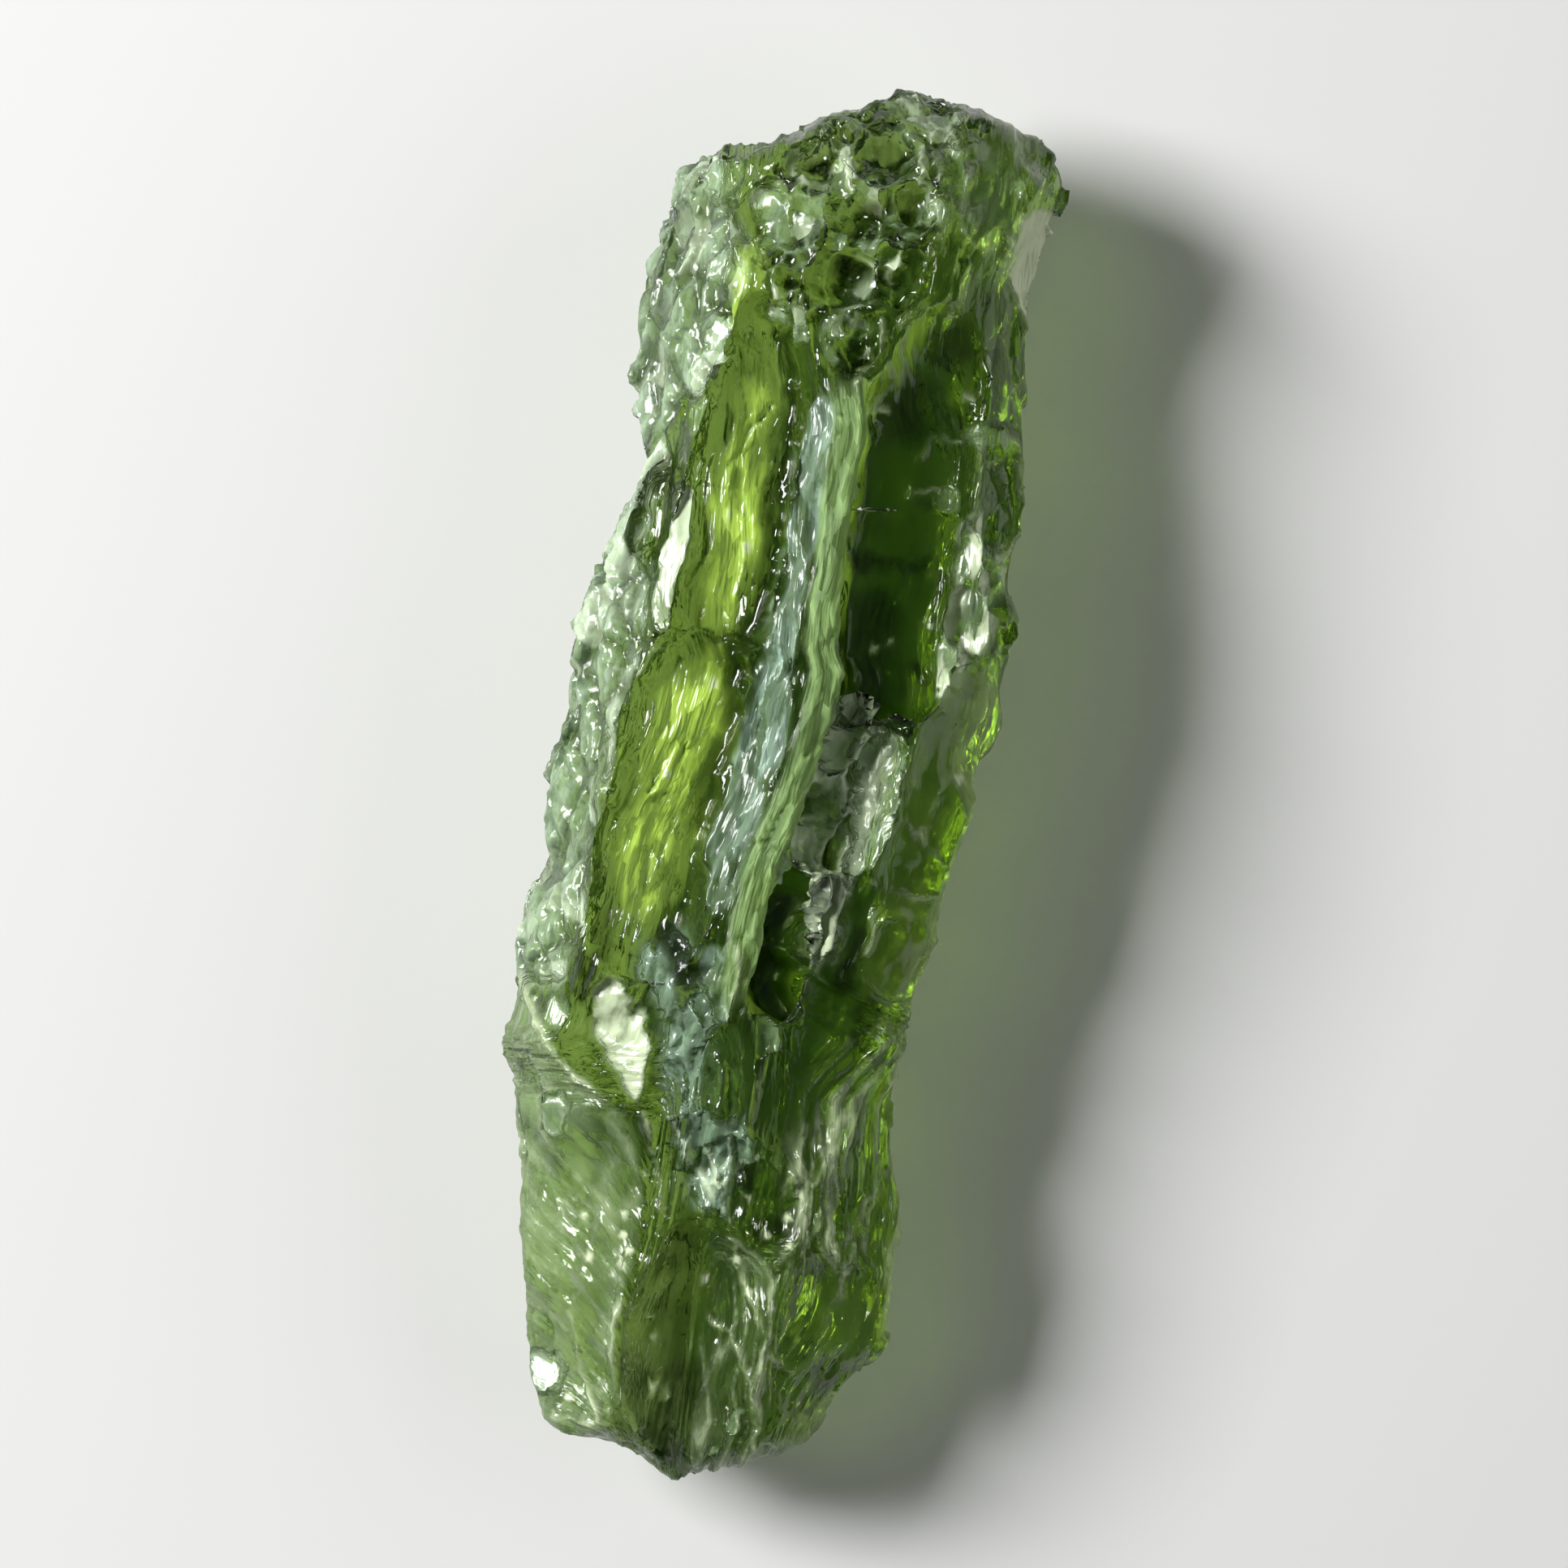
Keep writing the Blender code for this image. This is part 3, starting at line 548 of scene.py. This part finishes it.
# Etching leaves the rest in small facets, about square on the head and flank and long in the flutes.
rough = np.clip(0.75 * frost + 0.7 * head + network + 0.8 * foot + 0.25 * (1 - face) + 0.2 * milky_low, 0, 1)
rough *= 1 - 0.5 * facet_share
facets, facet_tone = sample_facets(points, (0.95, 1.2, 0.95))
small_facets, small_tone = sample_facets(points + 20.0, (0.5, 0.65, 0.5))
long_facets, long_tone = sample_facets(flow, (0.42, 1.5, 1.0))
depth += 0.6 * rough * (1 - 0.5 * head) * facets + 0.28 * busy * long_facets
depth += (0.4 * head + 0.25 * network + 0.2 * foot + 0.12 * frost) * small_facets

# The ridge is a band of fine strands that ends in a crisp drop on its right.
from_edge = read_line(RIDGE_EDGE, y) + 0.10 * sample_noise(points, (9.0, 0.7, 9.0)) - x
on_ridge = face * ease((y + 7.3) / 2) * ease((12.0 - y) / 1.5)
band = ease(from_edge / 0.12 + 0.5) * ease((1.15 - from_edge) / 0.3)
ridge = on_ridge * band
cords = ease(0.5 + 1.2 * sample_noise(np.stack((from_edge, y, 0 * y), axis=1), (0.15, 2.6, 1.0)))
depth += ridge * (0.035 * cords - 0.08)
depth += on_ridge * 0.4 * ease(-from_edge / 0.25 + 0.2) * ease((1.6 + from_edge) / 1.0)

# The smooth windows ripple in shells, the back and flanks have scoops with sharp crests between them.
near_shell, shell_border = sample_cells(points, (1.5, 1.9, 1.5))
depth += 0.22 * clear * (1 - np.minimum(near_shell, 1) ** 2)
near_scoop, scoop_border = sample_cells(points, (1.7, 2.6, 1.7))
near_small = sample_cells(points, (0.8, 1.2, 0.8))[0]
off_spot = ease((points[:, 2] - 0.25) / 0.6)
sides = 1 - face
depth += sides * off_spot * 0.35 * (1 - np.minimum(near_scoop, 1) ** 2)
depth += sides * off_spot * 0.14 * (1 - np.minimum(near_small, 1) ** 2)

depth *= 1 - 0.6 * facet_share
crests = face * inner * nearness(fine_x, fine_y, CRESTS, 1.6) * (0.55 + 0.45 * ease(0.5 + 1.5 * blotches))
cracks = face * ease(2.0 * nearness(fine_x, fine_y, CRACKS, 1.6))
depth -= 0.15 * crests
depth += 0.12 * cracks
lowest, highest = (np.array(corner) / MM for corner in cad_box)
carved = np.clip(points - normals * (depth + 0.03)[:, None], lowest + 0.02, highest - 0.02)
write_points(stone.data, carved)
apply_modifier(stone, "SMOOTH", factor=0.4, iterations=1)


def store(mesh, name, values):
    """Keeps a value for each point of a mesh, for its material to read."""
    attribute = mesh.attributes.new(name, "FLOAT", "POINT")
    attribute.data.foreach_set("value", values.astype(np.float32))


# Gas bubbles, as (x, y, radius). The skin over each is painted pale, a painted glint.
BUBBLES = [
    (-3.9, -12.75, 0.07), (-3.6, -13.85, 0.08), (-0.3, -14.0, 0.09), (0.55, -13.35, 0.07), (1.0, -14.2, 0.06),
    (1.7, -14.5, 0.07), (-1.4, -15.85, 0.07), (-1.25, -17.25, 0.08), (-0.85, -17.45, 0.06), (-2.8, -12.5, 0.07),
    (-2.75, -13.1, 0.08), (-2.5, -13.5, 0.07), (-2.65, -13.9, 0.06), (-3.65, -17.9, 0.07), (-1.6, -15.3, 0.05),
    (1.9, -12.7, 0.06), (0.7, -11.6, 0.06), (1.75, -12.0, 0.08), (1.3, -12.5, 0.07), (2.0, -11.3, 0.07),
    (3.6, -13.3, 0.06), (-2.3, -11.3, 0.06), (-2.0, -11.2, 0.05), (2.5, 4.3, 0.07), (2.2, 4.1, 0.05),
    (3.4, 4.9, 0.06), (2.9, 13.4, 0.06), (3.6, 11.4, 0.07), (4.2, 12.6, 0.06), (1.7, 10.7, 0.06),
    (-2.6, 7.2, 0.07), (-1.9, 6.4, 0.08), (-2.3, 2.5, 0.07), (-3.2, -0.2, 0.06), (5.0, 0.9, 0.07),
]
painted_glint_dots = face * ease(2.5 * nearness(x, y, [[(place_x, place_y, 2.2 * radius)] for place_x, place_y, radius in BUBBLES]))

# How milky, blue, shaded and glowing the skin is. Worn and etched skin is milky. The blue is a painted
# reflection, the shade is painted shade in creases, pits and dark hollows, and the thin floors of the flutes are
# painted glowing: painted light, where light comes through them.
rim = face * ease((0.62 - normals[:, 2]) / 0.35) * ease((6.0 - points[:, 2]) / 1.5)
chip = face * inside(fine_x, y, CHIP, 0.15)
painted_sheen = face * inside(soft_x, soft_y, PAINTED_SHEEN_FIELD, 0.6)
walls = head * (1 - ease(pit_border / 0.15))
milk = 0.10 + 0 * x
for share, amount in (
    (frost, 0.6 + 0.4 * facet_tone), (ridge, 1.0 - 0.2 * cords), (blue_strip, 0.55 + 0.45 * long_tone),
    (milky_low, 0.6 + 0.45 * blotches), (foot, 0.7 + 0.3 * small_tone), (lobe, 0.6),
    (network, 0.75 + 0.25 * small_tone), (walls, 0.7), (head, small_tone ** 1.5), (strand_share * strands, 0.8),
    (rim, 0.4), (face * scar_side, 0.5), (face * scar_side * strands, 0.9), (sides, 0.4), (chip, 0.9),
    (painted_sheen, 0.4 + 0.6 * long_tone), (haze, 0.3 + 0.4 * small_tone),
):
    milk = np.maximum(milk, share * amount)
milk = np.maximum(milk, facet_milk * (0.4 + 0.5 * long_tone))
clearest = smooth * (1 - facet_share) * (1 - painted_sheen) * (1 - chip)
milk *= 1 - 0.8 * np.maximum(clearest, np.maximum(deep_pits, flute_wall))

# Painted shade: creases, cracks, grooves, pits and hollows, the windows, the flute walls, the scar towards its left and
# bottom, the head's top and patches of the upper flank are painted darker, where shade falls or the glass looks dark.
shade = np.zeros_like(x)
for share, amount in (
    (frost * wrinkles, 0.25), (frost * lobes, 0.6), (head - walls, 0.95 - 0.7 * small_tone), (deep_pits, 1.0),
    (frost * ease((y - 8.0) / 3.0) * ease(2.0 * blotches), 0.4),
    (network * (1 - long_walls), 0.3), (foot * (1 - long_walls), 0.25),
    (window, 0.25 + 0.5 * blotches), (side_window, 0.15),
    (scar, 0.45 + 0.3 * ease((-0.4 - x) / 0.8) + 0.25 * ease((-15.5 - y) / 1.5) + 0.3 * blotches),
    (head * ease((y - 16.0) / 1.5), 0.7 - 0.5 * small_tone),
    (face * inside(soft_x, soft_y, PAINTED_SHADE_PATCHES, 1.4), 0.9),
    (flute_wall, 0.6), (face * inside(soft_x, soft_y, FLUTE_PAINTED_SHADE[2:], 1.2), 0.85), (cracks, 0.8),
    (busy * (1 - ridge) * ease(-groove / 0.3), 0.35), (ridge * cords, 0.25),
    (busy * (1 - ridge) * (1 - milky_low) * (1 - rough) * (1 - 0.6 * blue_strip), 0.55 - 0.5 * long_tone),
    (strand_share * (1 - strands), 0.5), (face * scar_side * (1 - strands), 0.5),
):
    shade = np.maximum(shade, share * amount)
# The painted shade is taken off lit facets, crests, the chip, the sheen patches and the spots over the bubbles.
shade *= 1 - 0.9 * np.maximum(np.maximum(facet_share, crests), np.maximum(chip, 0.7 * painted_sheen))
shade *= 1 - painted_glint_dots

# Painted light: the flute floors, the lit rims on the right and the side shells, most toward their edges, are painted
# yellow-green and lit where light comes through the glass, but not on the crests.
mottling = 0.45 * groove + 0.3 * fine_groove + 0.5 * (long_tone - 0.5) + 0.3 * blotches
painted_glow = face * inside(soft_x, soft_y, FLUTE_PAINTED_GLOW, 0.9) * (0.7 + mottling)
painted_bright = face * inside(soft_x, soft_y, FLUTE_PAINTED_BRIGHT, 1.1) * (1.1 + mottling)
painted_glow = np.maximum(painted_glow, painted_bright)
painted_glow = np.maximum(painted_glow, 0.4 * face * inside(soft_x, soft_y, SIDE_PAINTED_GLOW, 0.9))
painted_glow = np.maximum(painted_glow, side_window * (0.2 + 0.4 * near_shell ** 2))
painted_glow = np.clip(painted_glow * (1 - crests), 0, 1)
shade *= 1 - 0.7 * painted_glow
# Painted reflection: the blue strip, the foot and the smooth lobe are painted blue-grey, a painted reflection of cool
# light.
blue = np.maximum(np.maximum((0.4 + 0.5 * long_tone) * blue_strip, 0.7 * foot), 0.7 * lobe)
frosted = np.maximum(np.maximum(frost, 0.7 * head), np.maximum(0.5 * facet_share, 0.6 * painted_sheen))
frosted = np.maximum(frosted, np.maximum(0.6 * network, 0.5 * haze))
# Pale marks. The strands, webs and striae are pale in the skin itself. The crests are partly worn pale and partly
# painted highlight. The chip, the right rim, the sheen patches, the milkiest facets, the palest facets of head and
# flank and the spots over the bubbles are painted highlights and glints.
pale = np.zeros_like(x)
for share, amount in (
    (crests ** 1.5, 0.8), (chip, 1.0), (strand_share * strands ** 2, 0.55), (face * scar_side * strands ** 2, 0.4),
    (network * (0.4 + 0.6 * long_walls), 0.3 + 0.6 * small_tone), (rim * ease(x - 3.0), 0.4), (milky_low * strands ** 2, 0.35),
    (ridge * (1 - cords) ** 2, 0.1), (frost * ease((facet_tone - 0.6) / 0.3), 0.35),
    (head * ease((small_tone - 0.8) / 0.15), 0.4), (painted_sheen * ease((long_tone - 0.2) / 0.3), 0.7),
    (ease((facet_milk - 1.0) / 0.4), 0.5 + 0.5 * long_tone), (painted_glint_dots, 1.0),
):
    pale = np.maximum(pale, share * amount)
etched = rough * (1 - chip) * (1 - 0.5 * head) * (1 - 0.4 * frost)
flowing = busy * (1 - rough) * (1 - 0.7 * facet_share)

SKIN_SHARES = {
    "milk": milk, "shade": shade, "painted_glow": painted_glow, "blue": blue, "frosted": frosted, "pale": pale,
    "etched": etched, "flowing": flowing, "ridged": ridge,
}
for name, values in SKIN_SHARES.items():
    store(stone.data, name, np.clip(values, 0, 1))
store(stone.data, "across", across)
store(stone.data, "along", along)

triangles = 2 * len(points)
if triangles > MOST_TRIANGLES:
    apply_modifier(stone, "DECIMATE", ratio=MOST_TRIANGLES / triangles)

# The bubbles are sealed in it just under the face. Each is a small shell that faces inwards, in the
# stone's own mesh, so the glass ends at it.
BUBBLE_DEPTH = 0.12


def add_bubble(place, radius):
    """Adds a round shell that faces inwards, with the same skin all over, painted pale as a painted glint."""
    bpy.ops.mesh.primitive_ico_sphere_add(subdivisions=2, radius=radius * MM, location=place * MM)
    bubble = bpy.context.object
    bpy.ops.object.transform_apply()
    bpy.ops.object.mode_set(mode="EDIT")
    bpy.ops.mesh.flip_normals()
    bpy.ops.object.mode_set(mode="OBJECT")
    # The shell is painted pale, a painted glint.
    store(bubble.data, "pale", np.full(len(bubble.data.vertices), 0.7))
    return bubble


bubbles = []
for bubble_x, bubble_y, radius in BUBBLES:
    at = np.argmin(np.hypot(x[top] - bubble_x, y[top] - bubble_y))
    surface = carved[top][at]
    bubbles.append(add_bubble(surface - (0, 0, BUBBLE_DEPTH + radius), radius))
bpy.ops.object.select_all(action="DESELECT")
for bubble in bubbles:
    bubble.select_set(True)
stone.select_set(True)
bpy.context.view_layer.objects.active = stone
bpy.ops.object.join()
bpy.ops.object.shade_smooth()


class Socket:
    """A shader socket that can be added, subtracted and multiplied, each adding its Math node."""

    def __init__(self, tree, socket):
        self.tree = tree
        self.socket = socket

    @classmethod
    def node(cls, tree, kind, settings=None, values=(), output=0):
        """Adds a node, sets its settings, then sets or links its inputs, and returns its output."""
        added = tree.nodes.new(kind)
        for name, value in (settings or {}).items():
            setattr(added, name, value)
        pairs = values.items() if isinstance(values, dict) else enumerate(values)
        for name, value in pairs:
            if isinstance(value, Socket):
                tree.links.new(value.socket, added.inputs[name])
            else:
                added.inputs[name].default_value = value
        return cls(tree, added.outputs[output])

    def math(self, operation, first, second):
        return Socket.node(self.tree, "ShaderNodeMath", {"operation": operation}, (first, second))

    def __add__(self, other):
        return self.math("ADD", self, other)

    def __sub__(self, other):
        return self.math("SUBTRACT", self, other)

    def __rsub__(self, other):
        return self.math("SUBTRACT", other, self)

    def __mul__(self, other):
        return self.math("MULTIPLY", self, other)

    __radd__ = __add__
    __rmul__ = __mul__

    def beside(self, output):
        """Another output of the same node."""
        return Socket(self.tree, self.socket.node.outputs[output])

    def drive(self, *sockets):
        """Links this value to shaders' own sockets."""
        for socket in sockets:
            self.tree.links.new(self.socket, socket)


def mix_colours(factor, first, second):
    """Goes from the first colour to the second as the factor goes from 0 to 1."""
    settings = {"data_type": "RGBA", "clamp_factor": True}
    return Socket.node(factor.tree, "ShaderNodeMix", settings, {0: factor, 6: first, 7: second}, output=2)


def add_facets(place):
    """Height of small flat facets that each lean their own way, at a place counted in facets."""
    colour = Socket.node(place.tree, "ShaderNodeTexVoronoi", values={"Vector": place, "Scale": 1.0}, output="Color")
    less = {"operation": "SUBTRACT"}
    offset = Socket.node(place.tree, "ShaderNodeVectorMath", less, (place, colour.beside("Position")))
    lean = Socket.node(place.tree, "ShaderNodeVectorMath", less, (colour, (0.5, 0.5, 0.5)))
    dot = {"operation": "DOT_PRODUCT"}
    return Socket.node(place.tree, "ShaderNodeVectorMath", dot, (offset, lean), output="Value")


# Bottle-green glass: red and blue are drunk up in a few millimetres, and green goes through.
GLASS_TINT = (0.76, 0.84, 0.15, 1)
GLASS_DENSITY = 270.0
CLEAR_GLASS = (0.55, 0.78, 0.35, 1)
# Under painted shade the glass is painted dark as well.
SHADED_GLASS = (0.010, 0.018, 0.005, 1)
# Its worn and etched skin scatters the light. The glowing skin is painted light, the shaded skin painted shade,
# the blue skin a painted reflection, and the pale skin partly pale strands and partly painted highlights and glints.
CLEAR_SKIN = (0.12, 0.24, 0.03, 1)
PAINTED_GLOW_SKIN = (0.66, 1.0, 0.12, 1)
SHADED_SKIN = (0.004, 0.007, 0.002, 1)
MILKY_SKIN = (0.27, 0.37, 0.19, 1)
FROSTED_SKIN = (0.60, 0.78, 0.56, 1)
BLUE_REFLECTION_SKIN = (0.48, 0.69, 0.55, 1)
RIDGE_SKIN = (0.32, 0.54, 0.15, 1)
PALE_AND_HIGHLIGHT_SKIN = (0.68, 0.77, 0.50, 1)

glass = bpy.data.materials.new("moldavite_glass")
glass.use_nodes = True
tree = glass.node_tree
clear_shader = tree.nodes["Principled BSDF"]
clear_shader.inputs["IOR"].default_value = 1.49
clear_shader.inputs["Transmission Weight"].default_value = 1.0
skin_shader = tree.nodes.new("ShaderNodeBsdfPrincipled")
skin_shader.inputs["IOR"].default_value = 1.49
share = {
    name: Socket.node(tree, "ShaderNodeAttribute", {"attribute_name": name}, output="Fac")
    for name in [*SKIN_SHARES, "across", "along"]
}
place = Socket.node(tree, "ShaderNodeTexCoord", output="Object")
flow_place = Socket.node(
    tree, "ShaderNodeCombineXYZ", values={"X": share["across"] * 9.0, "Y": share["along"] * 0.8}
)
streaks = Socket.node(tree, "ShaderNodeTexNoise", values={"Vector": flow_place, "Scale": 1.0, "Detail": 1.0})
streaky = (streaks - 0.5) * 1.4

skin = mix_colours(share["painted_glow"], CLEAR_SKIN, PAINTED_GLOW_SKIN)
milky = mix_colours(share["frosted"], MILKY_SKIN, FROSTED_SKIN)
milky = mix_colours(share["blue"], milky, BLUE_REFLECTION_SKIN)
milky = mix_colours(share["ridged"], milky, RIDGE_SKIN)
skin = mix_colours(share["milk"] + share["milk"] * streaky, skin, milky)
shaded = share["shade"] - share["shade"] * streaky * 0.25
skin = mix_colours(shaded, skin, SHADED_SKIN)
skin = mix_colours(share["pale"], skin, PALE_AND_HIGHLIGHT_SKIN)
skin.drive(skin_shader.inputs["Base Color"])
mix_colours(shaded, CLEAR_GLASS, SHADED_GLASS).drive(clear_shader.inputs["Base Color"])
(0.05 + share["milk"] * 0.2 + share["ridged"] * 0.4).drive(clear_shader.inputs["Roughness"])
(0.24 + share["ridged"] * 0.4).drive(skin_shader.inputs["Roughness"])

SMALL_FACET = 0.3 * MM
facet_place = Socket.node(
    tree, "ShaderNodeVectorMath", {"operation": "SCALE"}, {"Vector": place, "Scale": 1 / SMALL_FACET}
)
long_place = Socket.node(
    tree, "ShaderNodeCombineXYZ", values={"X": share["across"] * 4.5, "Y": share["along"] * 1.1}
)
flowing_place = Socket.node(
    tree, "ShaderNodeMix", {"data_type": "VECTOR"}, {0: share["flowing"] * 3.0, 4: facet_place, 5: long_place}, output=1
)
relief = add_facets(flowing_place) * (share["etched"] + share["flowing"] * 0.7)
relief = relief + streaks * share["flowing"] * 0.2
bump = Socket.node(tree, "ShaderNodeBump", values={"Height": relief, "Distance": SMALL_FACET, "Strength": 0.9})
bump.drive(clear_shader.inputs["Normal"], skin_shader.inputs["Normal"])

# The skin shows more where it is milky, painted glowing or painted pale, and less under painted shade.
veil = (0.08 + share["milk"] * 0.6 + share["painted_glow"] * 0.65) * (1 - share["shade"] * 0.85) + share["pale"] * 0.6
mixed = tree.nodes.new("ShaderNodeMixShader")
veil.drive(mixed.inputs["Fac"])
tree.links.new(clear_shader.outputs[0], mixed.inputs[1])
tree.links.new(skin_shader.outputs[0], mixed.inputs[2])
tree.links.new(mixed.outputs[0], tree.nodes["Material Output"].inputs["Surface"])
absorption = tree.nodes.new("ShaderNodeVolumeAbsorption")
absorption.inputs["Color"].default_value = GLASS_TINT
absorption.inputs["Density"].default_value = GLASS_DENSITY
tree.links.new(absorption.outputs[0], tree.nodes["Material Output"].inputs["Volume"])
stone.data.materials.append(glass)
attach(stone, "root")
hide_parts("moldavite")

# The table
# A plain pale surface that the stone lies on.
bpy.ops.mesh.primitive_plane_add(size=3, location=(0, 0, 0))
table = bpy.context.object
table.name = "table"
paper = bpy.data.materials.new("pale_table")
paper.use_nodes = True
paper.node_tree.nodes["Principled BSDF"].inputs["Base Color"].default_value = (0.8, 0.8, 0.78, 1)
paper.node_tree.nodes["Principled BSDF"].inputs["Roughness"].default_value = 0.7
table.data.materials.append(paper)

# The light
# A soft box low on the left, a weak one on the right, and a dim room.


def add_softbox(name, place, size, radiance):
    """A square soft box that looks at the stone."""
    data = bpy.data.lights.new(name, "AREA")
    data.shape = "SQUARE"
    data.size = size
    data.energy = radiance * math.pi * size ** 2
    box = bpy.data.objects.new(name, data)
    box.location = place
    box.rotation_euler = (-Vector(place)).to_track_quat("-Z", "Y").to_euler()
    bpy.context.scene.collection.objects.link(box)
    return box


add_softbox("left_softbox", (-0.29, 0.07, 0.22), 0.15, 30)
fill = add_softbox("right_softbox", (0.30, 0.03, 0.15), 0.3, 1.1)
fill.visible_glossy = False
bpy.context.scene.view_settings.view_transform = "Standard"
world = bpy.data.worlds.new("room")
world.use_nodes = True
world.node_tree.nodes["Background"].inputs["Color"].default_value = (0.9, 0.95, 1, 1)
world.node_tree.nodes["Background"].inputs["Strength"].default_value = 0.05
bpy.context.scene.world = world
